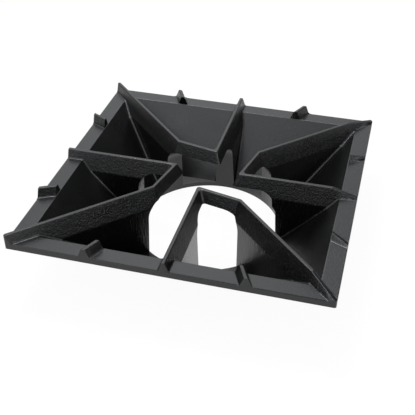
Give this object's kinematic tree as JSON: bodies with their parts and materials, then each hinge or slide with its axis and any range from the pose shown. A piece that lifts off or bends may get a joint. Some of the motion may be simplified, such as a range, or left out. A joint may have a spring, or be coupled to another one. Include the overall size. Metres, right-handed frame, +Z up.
{
  "type": "range top grate",
  "caption": "Square cast iron range top grate with a bowl, a round burner hole and four pinwheel pan ribs.",
  "frame": {"origin": "under the middle of the burner hole, on the face that the bowl stands on", "axes": "+Z up, -Y the front in the picture, +X the side where the ribs and lugs ramp down"},
  "size_m": [0.3048, 0.3048, 0.075],
  "materials": {
    "cast_iron": "satin black coating over sand-cast iron"
  },
  "bodies": {
    "root": {"top_grate": "cast_iron"}
  },
  "joints": []
}
